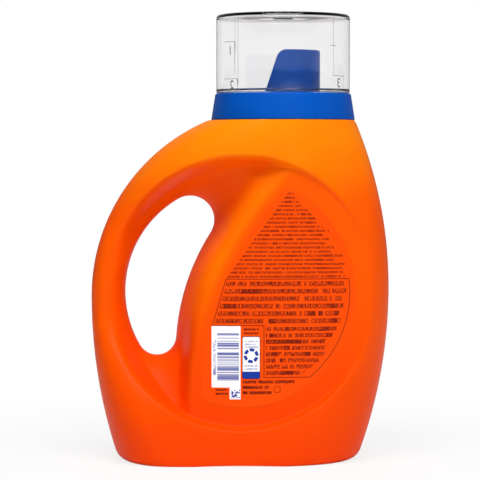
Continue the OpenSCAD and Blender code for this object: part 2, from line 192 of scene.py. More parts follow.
def white_room():
    """Camera and clear plastic see white all round, gloss sees some white behind, the rest a grey fill."""
    world = bpy.data.worlds.new("room")
    world.use_nodes = True
    tree = world.node_tree
    tree.nodes.clear()
    rays = Wire.node(tree, "ShaderNodeLightPath")
    ports = rays.socket.node.outputs
    seen = most(Wire(tree, ports["Is Camera Ray"]), Wire(tree, ports["Is Transmission Ray"]))
    way = Wire.node(tree, "ShaderNodeTexCoord", {}, {}, "Generated")
    behind = axes(way)[1]
    gloss = Wire(tree, ports["Is Glossy Ray"])
    seen = most(seen, gloss * 0.2 * ease(-0.1, 0.7, behind))
    fill, dark, white = (
        Wire.node(tree, "ShaderNodeBackground", {}, {"Color": (1, 1, 1, 1), "Strength": strength})
        for strength in (0.13, 0.04, 1.0))
    room = Wire.node(tree, "ShaderNodeMixShader", {}, {0: gloss, 1: fill, 2: dark})
    both = Wire.node(tree, "ShaderNodeMixShader", {}, {0: seen, 1: room, 2: white})
    end = tree.nodes.new("ShaderNodeOutputWorld")
    tree.links.new(both.socket, end.inputs["Surface"])
    scene.world = world


white_room()


def finish_of(name, make):
    """A material whose surface is the shader that make(tree) gives."""
    material = bpy.data.materials.new(name)
    material.use_nodes = True
    tree = material.node_tree
    tree.nodes.clear()
    end = tree.nodes.new("ShaderNodeOutputMaterial")
    tree.links.new(make(tree).socket, end.inputs["Surface"])
    return material


def floor_finish(tree):
    rays = Wire.node(tree, "ShaderNodeLightPath").socket.node.outputs
    gap = Wire.node(tree, "ShaderNodeVectorMath", {"operation": "LENGTH"}, {0: own_place(tree)}, "Value")
    # The floor turns white away from the bottle, so that only the shadow at its foot stays.
    seen = Wire(tree, rays["Is Camera Ray"]) * (0.8 + 0.2 * ease(0.1, 0.35, gap))
    matt = Wire.node(tree, "ShaderNodeBsdfPrincipled", {}, {
        "Base Color": (0.9, 0.9, 0.9, 1), "Roughness": 0.6})
    glow = Wire.node(tree, "ShaderNodeEmission", {}, {"Color": (1, 1, 1, 1), "Strength": 1.0})
    return Wire.node(tree, "ShaderNodeMixShader", {}, {0: seen, 1: matt, 2: glow})


floor_mesh = bpy.data.meshes.new("floor")
floor_mesh.from_pydata([(-6, -6, 0), (6, -6, 0), (6, 6, 0), (-6, 6, 0)], [], [(0, 1, 2, 3)])
floor_mesh.materials.append(finish_of("floor", floor_finish))
floor = bpy.data.objects.new("floor", floor_mesh)
scene.collection.objects.link(floor)
floor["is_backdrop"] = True

# The bottle: one blow-moulded HDPE body with the handle blown in, a round crease and a sunk label panel on
# each broad face, a finger scoop round the opening, and a round neck. Sizes are in millimetres: x runs to
# the right of the foot's middle and z up from the ground. R names a radius and C a centre in x and z.
MM = 0.001
FOOT_X = 80.6
WAIST_Z = 89.5
SHOULDER_Z = 183.2
SHOULDER_R = 40.4
FOOT_R = 5.0
NECK_X = 23.3
NECK_R = 35.2
NECK_H, NECK_WALL = 12.4, 2
DISH_R, DISH_TOP_R, DISH_H = 28, 24.6, 2.4
PAD_SPAN, PAD_ARCH = 25, 0.7
PANEL_R, PANEL_X = 235.0, 6
TAPER_Z, FAR_ROLL, PANEL_ROLL = 120, 52, 12
ARCH_DROP, SIDE_RISE = 1.6, 3.2
ARCH_R = 103.26
FAR_UP_R = 232.9
FAR_LOW_R = 260.0
GRIP_LOW_R = 269.0
RING_C = (0.5, 91.8)
HOLE_TOP_C, HOLE_TOP_R = (-27.0, 129.4), 13.0
HOLE_LOW_C, HOLE_LOW_R = (-45.2, 66.5), 10.5
HOLE_GRIP_R = 58.0
HOLE_BODY_R = 121.0
FLANK_R, FLANK_IN, FLANK_DROP = 171.0, 10.5, 3.4
SEAM = 0.6
# The skin's sections fan out from a point in the handle's opening.
EYE = (-44.9, 93.85)


def crossing(a, ra, b, rb):
    """Where two circles cross, on the left of the line from one to the other."""
    along = (b[0] - a[0], b[1] - a[1])
    gap = math.hypot(*along)
    k = (ra * ra - rb * rb + gap * gap) / (2 * gap)
    h = math.sqrt(ra * ra - k * k)
    return (a[0] + (k * along[0] - h * along[1]) / gap, a[1] + (k * along[1] + h * along[0]) / gap)


HOLE_GRIP_C = crossing(HOLE_TOP_C, HOLE_GRIP_R - HOLE_TOP_R, HOLE_LOW_C, HOLE_GRIP_R - HOLE_LOW_R)
HOLE_BODY_C = crossing(HOLE_TOP_C, HOLE_BODY_R + HOLE_TOP_R, HOLE_LOW_C, HOLE_BODY_R + HOLE_LOW_R)
hole_mid = ((HOLE_TOP_C[0] + HOLE_LOW_C[0]) / 2, (HOLE_TOP_C[1] + HOLE_LOW_C[1]) / 2)
to_body = (HOLE_BODY_C[0] - hole_mid[0], HOLE_BODY_C[1] - hole_mid[1])
to_body = (to_body[0] / math.hypot(*to_body), to_body[1] / math.hypot(*to_body))
flank_more = FLANK_IN + FLANK_R - HOLE_BODY_R
FLANK_C = (HOLE_BODY_C[0] + flank_more * to_body[0] + FLANK_DROP * to_body[1],
           HOLE_BODY_C[1] + flank_more * to_body[1] - FLANK_DROP * to_body[0])
ARCH_C = (ARCH_R - FOOT_X, WAIST_Z - ARCH_DROP)
FAR_UP_C = (FOOT_X - FAR_UP_R, WAIST_Z + SIDE_RISE)
FAR_LOW_C = (FOOT_X - FAR_LOW_R, WAIST_Z + SIDE_RISE)
GRIP_LOW_C = (GRIP_LOW_R - FOOT_X, WAIST_Z - ARCH_DROP)


def least(a, b):
    return a.math("MINIMUM", a, b)


def pick(mask, yes, no):
    """The first value where the mask is 1, the second where it is 0."""
    return no + mask * (yes - no)


def cosine(a):
    return a.math("COSINE", a)


def sine(a):
    return a.math("SINE", a)


def vector(tree, x, y, z):
    return Wire.node(tree, "ShaderNodeCombineXYZ", {}, {"X": x, "Y": y, "Z": z})


def limit(a):
    """The value, kept between 0 and 1."""
    return Wire.node(a.tree, "ShaderNodeMath", {"operation": "ADD", "use_clamp": True}, {0: a, 1: 0.0})


def rise(t, fullness):
    """A rounded rise from 0 to 1, fuller than a straight slope."""
    return (1 - (1 - limit(t)) ** fullness) ** (1 / fullness)


def away(point, centre):
    values = {0: point, 1: (centre[0], 0.0, centre[1])}
    return Wire.node(point.tree, "ShaderNodeVectorMath", {"operation": "DISTANCE"}, values, "Value")


def in_corner(x, z, corner, a, b):
    """Whether a point lies in the corner that opens from towards a round to towards b."""
    from_a = (z - corner[1]) * (a[0] - corner[0]) - (x - corner[0]) * (a[1] - corner[1])
    to_b = (x - corner[0]) * (b[1] - corner[1]) - (z - corner[1]) * (b[0] - corner[0])
    return (from_a > 0) * (to_b > 0)


def panel_depth(x, panel_y):
    """The label panel's face, a shallow upright arc."""
    return (PANEL_R ** 2 - (x - PANEL_X) * (x - PANEL_X)) ** 0.5 - PANEL_R + panel_y


def half_depth(point, x, z, depth, grip, crease, ledge, panel_y):
    """How far the broad face stands out from the parting line at a point of the bottle."""
    # How far a point lies in from the outline on each side, where the foot's rounding draws the outline in.
    far_upper = z > FAR_UP_C[1]
    grip_upper = z > ARCH_C[1]
    foot_in = FOOT_R * (1 - rise(z / FOOT_R, 2))
    far_in = pick(far_upper, FAR_UP_R - away(point, FAR_UP_C), FAR_LOW_R - away(point, FAR_LOW_C)) - foot_in
    grip_in = pick(grip_upper, ARCH_R - away(point, ARCH_C), GRIP_LOW_R - away(point, GRIP_LOW_C)) - foot_in

    # The depth away from the edges: a full belly, drawn in towards the round shoulder, and a slim grip.
    drawn = most((z - TAPER_Z) / (SHOULDER_Z - TAPER_Z), 0.0)
    belly = depth / 2 - (1 - ease(0, 16, z)) - 1.5 * (1 - rise(z / FOOT_R, 2))
    belly = belly - (depth / 2 - SHOULDER_R) * drawn * drawn
    share = 1 - (1 - ease(HOLE_LOW_R - FOOT_X, 2, x)) * ease(18, WAIST_Z - 6, z)
    full = grip / 2 + (belly - grip / 2) * share

    # The face rolls round to the parting line, and towards the shoulder each level turns into an ellipse.
    grip_roll = 9 + 17 * (1 - ease(25, 78, z)) + 11 * ease(112, 150, z)
    low = full * rise(far_in / FAR_ROLL, 2.3) * rise(grip_in / grip_roll, 2.2)
    up = most(z, FAR_UP_C[1])
    left = ARCH_C[0] - (ARCH_R ** 2 - (up - ARCH_C[1]) * (up - ARCH_C[1])) ** 0.5
    right = FAR_UP_C[0] + (FAR_UP_R ** 2 - (up - FAR_UP_C[1]) * (up - FAR_UP_C[1])) ** 0.5
    across = limit(abs((2 * x - left - right) / (right - left)))
    high = belly * (1 - across * across) ** 0.5
    plain = low + (high - low) * ease(118, 172, z)

    # How far a point lies out from the edge of the handle's opening.
    by_grip = in_corner(x, z, HOLE_GRIP_C, HOLE_TOP_C, HOLE_LOW_C)
    by_body = in_corner(x, z, HOLE_BODY_C, HOLE_TOP_C, HOLE_LOW_C)
    to_grip = away(point, HOLE_GRIP_C) - HOLE_GRIP_R
    to_body = HOLE_BODY_R - away(point, HOLE_BODY_C)
    ends = least(away(point, HOLE_TOP_C) - HOLE_TOP_R, away(point, HOLE_LOW_C) - HOLE_LOW_R)
    out = pick(by_grip * (to_grip > 0), to_grip, pick(by_body * (to_body > 0), to_body, ends))
    within_opening = most(by_grip, by_body) * (to_grip < 0.001) * (to_body < 0.001)
    out = most(out, 0.0) * (1 - within_opening)

    # The finger scoop climbs from the opening, and a soft edge leads it over to the sunk label panel.
    flank = FLANK_R - away(point, FLANK_C)
    above = ease(100, 140, z)
    below = 1 - ease(35, 85, z)
    scoop_floor = grip / 2 + (panel_y - 5 - grip / 2) * share - 3 * above * share
    fullness = 2 - 0.7 * below - 0.6 * above
    scoop_roll = 11 + 22 * below + 16 * above
    scoop = scoop_floor * rise(out / scoop_roll, fullness)
    soft = 3.5 + 5.5 * ease(40, 150, z)
    panel = least(panel_depth(x, panel_y), (panel_y + 1) * rise(out / PANEL_ROLL, 2.2))
    inside = scoop + (panel - scoop) * ease(-1 * soft, soft, flank + 0.3 * soft)

    # Inside the round crease, past its ledge, the face is sunk to the scoop and the panel.
    width = ledge + 5 * ease(0, 25, -flank)
    step = ease(0, width, crease - away(point, RING_C))
    return most(plain + (least(inside, plain) - plain) * step, SEAM / 2)


def ray(cos, sin, centre, radius, side, eye=EYE):
    """Distance from the eye to a circle, to its near side with -1 or its far side with 1."""
    dx, dz = centre[0] - eye[0], centre[1] - eye[1]
    along = cos * dx + sin * dz
    k = dx * dx + dz * dz - radius * radius
    return along + side * most(along * along - k, 0.0) ** 0.5


def foot_corner(centre, radius, side):
    return (centre[0] + side * math.sqrt((radius - FOOT_R) ** 2 - (FOOT_R - centre[1]) ** 2), FOOT_R)


def to_outline(cos, sin):
    """Distance from the eye to the bottle's outline."""
    rising = sin > 0
    far = pick(rising, ray(cos, sin, FAR_UP_C, FAR_UP_R, 1), ray(cos, sin, FAR_LOW_C, FAR_LOW_R, 1))
    near = pick(rising, ray(cos, sin, ARCH_C, ARCH_R, 1), ray(cos, sin, GRIP_LOW_C, GRIP_LOW_R, 1))
    sides = least(far, near)
    level = pick(sin > 0.01, (SHOULDER_Z - EYE[1]) / sin, pick(sin < -0.01, -EYE[1] / sin, sides))
    reach = least(sides, level)
    for side, centre, radius in ((1, FAR_LOW_C, FAR_LOW_R), (-1, GRIP_LOW_C, GRIP_LOW_R)):
        corner = foot_corner(centre, radius, side)
        hit = ray(cos, sin, corner, FOOT_R, 1)
        down = (corner[0], 0.0)
        out = (2 * corner[0] - centre[0], 2 * corner[1] - centre[1])
        ends = (down, out) if side > 0 else (out, down)
        on_corner = in_corner(EYE[0] + hit * cos, EYE[1] + hit * sin, corner, *ends) * (sin < 0)
        reach = pick(on_corner, hit, reach)
    return reach


def bearing(x, z):
    return math.atan2(z - EYE[1], x - EYE[0]) % (2 * math.pi)


def towards(a, b, length):
    """The point at that distance from a on the way to b."""
    gap = math.hypot(b[0] - a[0], b[1] - a[1])
    return (a[0] + (b[0] - a[0]) * length / gap, a[1] + (b[1] - a[1]) * length / gap)


def to_opening(angle, cos, sin):
    """Distance from the eye to the edge of the handle opening, along its four arcs."""
    body = ray(cos, sin, HOLE_BODY_C, HOLE_BODY_R, -1)
    top = ray(cos, sin, HOLE_TOP_C, HOLE_TOP_R, 1)
    grip = ray(cos, sin, HOLE_GRIP_C, HOLE_GRIP_R, 1)
    low = ray(cos, sin, HOLE_LOW_C, HOLE_LOW_R, 1)
    reach = pick(angle < bearing(*towards(HOLE_LOW_C, HOLE_BODY_C, HOLE_LOW_R)), low, body)
    reach = pick(angle < bearing(*towards(HOLE_LOW_C, HOLE_GRIP_C, -HOLE_LOW_R)), grip, reach)
    reach = pick(angle < bearing(*towards(HOLE_TOP_C, HOLE_GRIP_C, -HOLE_TOP_R)), top, reach)
    return pick(angle < bearing(*towards(HOLE_TOP_C, HOLE_BODY_C, HOLE_TOP_R)), body, reach)


def tree_of(name, sizes):
    """A node tree with named inputs for its sizes, and the wires that come from them."""
    tree = bpy.data.node_groups.new(name, "GeometryNodeTree")
    tree.interface.new_socket("Geometry", in_out="OUTPUT", socket_type="NodeSocketGeometry")
    for label, value in sizes.items():
        kind = "NodeSocketInt" if isinstance(value, int) else "NodeSocketFloat"
        tree.interface.new_socket(label, in_out="INPUT", socket_type=kind).default_value = value
    entry = tree.nodes.new("NodeGroupInput")
    return tree, {port.name: Wire(tree, port) for port in entry.outputs if port.name}


def close_tree(tree, geometry, material):
    real = Wire.node(tree, "GeometryNodeRealizeInstances", {}, {"Geometry": geometry})
    done = Wire.node(tree, "GeometryNodeSetMaterial", {}, {"Geometry": real, "Material": material})
    end = tree.nodes.new("NodeGroupOutput")
    tree.links.new(done.socket, end.inputs[0])


def grow(name, tree, sharp=None):
    """The tree's result as an object with a plain mesh and no modifier."""
    piece = bpy.data.objects.new(name, bpy.data.meshes.new(name))
    scene.collection.objects.link(piece)
    piece.modifiers.new("form", "NODES").node_group = tree
    grown = bpy.data.meshes.new_from_object(piece.evaluated_get(bpy.context.evaluated_depsgraph_get()))
    piece.modifiers.clear()
    piece.data = grown
    grown.name = name
    grown.shade_smooth()
    if sharp:
        grown.set_sharp_from_angle(angle=math.radians(sharp))
    return piece


def skin(tree, at, sections, scoop_rows, ledge_rows, rim_rows):
    """A closed skin round the handle: each section runs from the opening to the outline and back behind."""
    side_rows = scoop_rows + ledge_rows + rim_rows + 1
    grid = Wire.node(tree, "GeometryNodeMeshGrid", {}, {
        "Size X": 1.0, "Size Y": 1.0, "Vertices X": sections + 1, "Vertices Y": 2 * side_rows + 1})
    grid_x, grid_y = axes(Wire.node(tree, "GeometryNodeInputPosition"))[:2]
    section = (grid_x + 0.5) * sections
    angle = round(section) % sections / sections * (2 * math.pi)
    row = round((grid_y + 0.5) * (2.0 * side_rows)) % (2.0 * side_rows)
    front = row < side_rows - 0.5
    step = pick(front, row, 2 * side_rows - 1 - row)
    cos, sin = cosine(angle), sine(angle)
    opening = to_opening(angle, cos, sin)
    rim = to_outline(cos, sin)
    crease = ray(cos, sin, RING_C, at["Crease radius"], 1)
    ledge = crease - at["Ledge width"]
    scoop_turn = limit(step / scoop_rows) * math.pi
    rim_turn = limit((step - scoop_rows - ledge_rows) / rim_rows) * (math.pi / 2)
    reach = opening + (ledge - opening) * (0.5 - 0.5 * cosine(scoop_turn))
    reach = reach + (crease - ledge) * limit((step - scoop_rows) / ledge_rows)
    reach = reach + (rim - crease) * sine(rim_turn)
    x = EYE[0] + reach * cos
    z = EYE[1] + reach * sin
    panel_y = at["Depth"] / 2 - at["Panel depth"]
    sizes = (at[name] for name in ("Depth", "Grip depth", "Crease radius", "Ledge width"))
    out = half_depth(vector(tree, x, 0.0, z), x, z, *sizes, panel_y)
    spot = vector(tree, x * MM, out * pick(front, -MM, MM), z * MM)
    shaped = Wire.node(tree, "GeometryNodeSetPosition", {}, {"Geometry": grid, "Position": spot})
    closed = Wire.node(tree, "GeometryNodeMergeByDistance", {}, {"Geometry": shaped, "Distance": 2e-6})
    return Wire.node(tree, "GeometryNodeFlipFaces", {}, {"Mesh": closed})


def tint(tree, mask, under, over):
    """Lays one colour over another where the mask is 1."""
    return Wire.node(tree, "ShaderNodeMix", {"data_type": "RGBA"}, {"Factor": mask, 6: under, 7: over}, 2)


def moved(tree, geometry, place, turn=(0, 0, 0)):
    return Wire.node(tree, "GeometryNodeTransform", {}, {
        "Geometry": geometry, "Translation": tuple(c * MM for c in place), "Rotation": turn})


def drum(tree, radius, low, high, sides, x, top_radius=None):
    """A round solid about an upright axis, or a cone with its top radius."""
    if top_radius is None:
        made = Wire.node(tree, "GeometryNodeMeshCylinder", {}, {
            "Vertices": sides, "Radius": radius * MM, "Depth": (high - low) * MM})
        return moved(tree, made, (x, 0, (low + high) / 2))
    made = Wire.node(tree, "GeometryNodeMeshCone", {}, {
        "Vertices": sides, "Radius Bottom": radius * MM, "Radius Top": top_radius * MM,
        "Depth": (high - low) * MM})
    return moved(tree, made, (x, 0, low))


def joined(tree, operation, first, others):
    settings = {"operation": operation, "solver": "MANIFOLD"}
    cut = operation == "DIFFERENCE"
    values = {"Mesh 1": first, "Mesh 2": others} if cut else {"Mesh 2": [first] + others}
    return Wire.node(tree, "GeometryNodeMeshBoolean", settings, values)


def noise(place, scale, detail):
    return Wire.node(place.tree, "ShaderNodeTexNoise", {}, {
        "Vector": place, "Scale": scale, "Detail": detail})


def bumped(tree, strength, height):
    return Wire.node(tree, "ShaderNodeBump", {}, {"Strength": strength, "Distance": 1.0, "Height": height})


def bottle_finish(tree):
    spot = own_place(tree)
    cloud = noise(spot, 22.0, 3.0)
    grain = noise(spot, 1400.0, 2.0)
    ripple = noise(spot, 70.0, 1.0)
    x, y, z = axes(spot)
    # Painted light and shade: the colour is lightest and most orange at the shoulder, lit from the lamp
    # above, and deepest red at the foot and, as painted shade, inside the crease. A cloud adds tone that
    # varies at random.
    from_ring = ((x - RING_C[0] * MM) ** 2 + (z - RING_C[1] * MM) ** 2) ** 0.5
    from_flank = ((x - FLANK_C[0] * MM) ** 2 + (z - FLANK_C[1] * MM) ** 2) ** 0.5
    # Painted highlight: a lighter orange band on the rolled edge between the panel and the scoop.
    rollover_highlight = ease(0.164, 0.170, from_flank) * (1 - ease(0.173, 0.181, from_flank)) * ease(0.06, 0.11, z)
    painted_light_level = limit(z / 0.19) + (cloud - 0.5) * 0.16 - 0.11 * (1 - ease(0.069, 0.0745, from_ring))
    # Painted light: the colour goes from deep red low down to light orange at the shoulder.
    colour = tint(tree, ease(0.0, 0.5, painted_light_level), (0.85, 0.056, 0.0001, 1), (0.89, 0.088, 0.0001, 1))
    colour = tint(tree, ease(0.68, 0.99, painted_light_level), colour, (0.98, 0.24, 0.001, 1))
    colour = tint(tree, rollover_highlight * 0.55, colour, (1.0, 0.2, 0.0005, 1))
    seam = 1 - ease(0.0002, 0.0005, abs(y))
    relief = grain * 0.00003 + ripple * 0.0001 + seam * 0.00015
    return Wire.node(tree, "ShaderNodeBsdfPrincipled", {}, {
        "Base Color": colour, "Roughness": 0.32 + cloud * 0.08, "Specular IOR Level": 0.05,
        "Normal": bumped(tree, 0.35, relief)})


bottle_tree, at = tree_of("bottle form", {
    "Sections": 360, "Scoop rows": 60, "Ledge rows": 8, "Rim rows": 24, "Depth": 86.0, "Grip depth": 30.0,
    "Crease radius": 73.5, "Ledge width": 3.7, "Panel depth": 5.0, "Wall": 1.2})
outer = skin(bottle_tree, at, at["Sections"], at["Scoop rows"], at["Ledge rows"], at["Rim rows"])
inner = skin(
    bottle_tree, at, at["Sections"] / 2, at["Scoop rows"] / 2, at["Ledge rows"] / 2, at["Rim rows"] / 4)
# The inside follows the outside at the wall's thickness, and its two faces never pass the parting line.
inward = Wire.node(bottle_tree, "ShaderNodeVectorMath", {"operation": "SCALE"}, {
    0: Wire.node(bottle_tree, "GeometryNodeInputNormal"), "Scale": at["Wall"] * -MM})
skin_x, skin_y, skin_z = axes(Wire.node(bottle_tree, "GeometryNodeInputPosition"))
inward_x, inward_y, inward_z = axes(inward)
side = skin_y.math("SIGN", skin_y)
inside = vector(bottle_tree, skin_x + inward_x, side * most(side * (skin_y + inward_y), SEAM / 2 * MM),
                skin_z + inward_z)
inner = Wire.node(bottle_tree, "GeometryNodeSetPosition", {}, {"Geometry": inner, "Position": inside})
neck = drum(bottle_tree, NECK_R, SHOULDER_Z - 0.6, SHOULDER_Z + NECK_H, 160, NECK_X)
# The mouth's cutter runs past the neck at both ends.
mouth = drum(bottle_tree, NECK_R - NECK_WALL, SHOULDER_Z - 4, SHOULDER_Z + 14, 160, NECK_X)
dish = drum(bottle_tree, DISH_R, -1, DISH_H, 96, RING_C[0], DISH_TOP_R)
# A wide, flat arch across the foot leaves a pad at each end of it.
pad_r = (PAD_SPAN ** 2 + PAD_ARCH ** 2) / (2 * PAD_ARCH)
arch = Wire.node(bottle_tree, "GeometryNodeMeshCylinder", {}, {
    "Vertices": 720, "Radius": pad_r * MM, "Depth": 0.2})
arch = moved(bottle_tree, arch, (RING_C[0], 0, PAD_ARCH - pad_r), (math.pi / 2, 0, 0))
hollow = joined(bottle_tree, "UNION", outer, [neck])
hollow = joined(bottle_tree, "DIFFERENCE", hollow, [inner, mouth, dish, arch])
close_tree(bottle_tree, hollow, finish_of("bottle", bottle_finish))
bottle = grow("bottle_body", bottle_tree, sharp=38)
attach(bottle, "bottle")
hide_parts("bottle")

# The labels: two plastic films stuck on the sunk panels, round-cornered leaves cut along the panel's edge.
# The one on the shown side is printed with rows of small marks, bars and fields, and the other is plain.
LABEL_RING_R = 60.5
LABEL_SIDE_R = 163.0
LABEL_CORNER = 6.0
LABEL_EYE = (24.0, 88.0)
LABEL_PANEL_Y = 38.0
PRINT_R = 57.4
label_corners = (
    crossing(RING_C, LABEL_RING_R - LABEL_CORNER, FLANK_C, LABEL_SIDE_R - LABEL_CORNER),
    crossing(FLANK_C, LABEL_SIDE_R - LABEL_CORNER, RING_C, LABEL_RING_R - LABEL_CORNER))


def to_label_edge(cos, sin):
    ring = ray(cos, sin, RING_C, LABEL_RING_R, 1, LABEL_EYE)
    reach = least(ring, ray(cos, sin, FLANK_C, LABEL_SIDE_R, 1, LABEL_EYE))
    for centre in label_corners:
        hit = ray(cos, sin, centre, LABEL_CORNER, 1, LABEL_EYE)
        x, z = LABEL_EYE[0] + hit * cos, LABEL_EYE[1] + hit * sin
        away_from_ring = (2 * centre[0] - RING_C[0], 2 * centre[1] - RING_C[1])
        away_from_flank = (2 * centre[0] - FLANK_C[0], 2 * centre[1] - FLANK_C[1])
        upper = centre[1] > RING_C[1]
        ends = (away_from_ring, away_from_flank) if upper else (away_from_flank, away_from_ring)
        reach = pick(in_corner(x, z, centre, *ends), hit, reach)
    return reach


def label_form(side, material):
    """A film on the panel: a grid folded at its edge, so that it has a front, a back and no open side."""
    tree, at = tree_of("label form", {"Sections": 300, "Rows": 30, "Lift": 0.1, "Film": 0.15})
    grid = Wire.node(tree, "GeometryNodeMeshGrid", {}, {
        "Size X": 1.0, "Size Y": 1.0, "Vertices X": at["Sections"] + 1, "Vertices Y": 2 * at["Rows"] + 2})
    grid_x, grid_y = axes(Wire.node(tree, "GeometryNodeInputPosition"))[:2]
    angle = round((grid_x + 0.5) * at["Sections"]) % at["Sections"] / at["Sections"] * (2 * math.pi)
    row = (grid_y + 0.5) * (2 * at["Rows"] + 1)
    front = row < at["Rows"] + 0.5
    step = pick(front, row, 2 * at["Rows"] + 1 - row) / at["Rows"]
    cos, sin = cosine(angle), sine(angle)
    reach = to_label_edge(cos, sin) * (1 - (1 - step) ** 1.5)
    x = LABEL_EYE[0] + reach * cos
    z = LABEL_EYE[1] + reach * sin
    out = panel_depth(x, LABEL_PANEL_Y) + at["Lift"] + front * at["Film"]
    point = vector(tree, x * MM, out * (side * MM), z * MM)
    shaped = Wire.node(tree, "GeometryNodeSetPosition", {}, {"Geometry": grid, "Position": point})
    closed = Wire.node(tree, "GeometryNodeMergeByDistance", {}, {"Geometry": shaped, "Distance": 1e-6})
    if side < 0:
        closed = Wire.node(tree, "GeometryNodeFlipFaces", {}, {"Mesh": closed})
    close_tree(tree, closed, material)
    return tree


def film(tree, colour, roughness):
    ripple = noise(own_place(tree), 60.0, 2.0)
    return Wire.node(tree, "ShaderNodeBsdfPrincipled", {}, {
        "Base Color": colour, "Roughness": roughness, "Specular IOR Level": 0.07,
        "Normal": bumped(tree, 0.25, ripple * 0.00012)})


def film_tint(tree):
    cloud = noise(own_place(tree), 30.0, 2.0)
    return tint(tree, limit((cloud - 0.35) * 1.6), (0.86, 0.066, 0.0002, 1), (0.89, 0.08, 0.0002, 1))


def within(a, low, high):
    return (a > low) * (a < high)


def whole_chance(tree, number):
    """A random value from 0 to 1 for each whole number."""
    return Wire.node(tree, "ShaderNodeTexWhiteNoise", {"noise_dimensions": "1D"}, {"W": number}, "Value")


def pair_chance(tree, one, other):
    """A random value from 0 to 1 for each pair of whole numbers."""
    return Wire.node(tree, "ShaderNodeTexWhiteNoise", {"noise_dimensions": "2D"}, {
        "Vector": vector(tree, one, other, 0.0)}, "Value")


def flat_noise(tree, across, up):
    return Wire.node(tree, "ShaderNodeTexNoise", {"noise_dimensions": "2D"}, {
        "Vector": vector(tree, across, up, 0.0), "Scale": 1.0, "Detail": 0.0})


def marks(tree, x, z, top, pitch, rows, left, right, height, ragged, seed, boldness):
    """Rows of unreadable word-like marks, with straight left ends and ragged right ones."""
    down = (top + pitch / 2 - z) / pitch
    row = math.floor(down)
    band = abs(down - row - 0.5) < height / pitch / 2
    words = pair_chance(tree, math.floor(x / (height * 0.5)), row + seed)
    weight = flat_noise(tree, x / (height * 4.5), row * 3.7 + seed)
    strokes = flat_noise(tree, x / (0.16 + height * 0.06), z / (height * 0.8) + seed)
    bold = 0.5 * ease(0.62, 0.68, weight)
    ink = (words > 0.09) * limit((strokes - 0.5 + (boldness + bold) * 0.4) * 5.0)
    end = right - ragged * whole_chance(tree, row + seed)
    return (row > -0.5) * (row < rows - 0.5) * (x > left) * (x < end) * band * ink


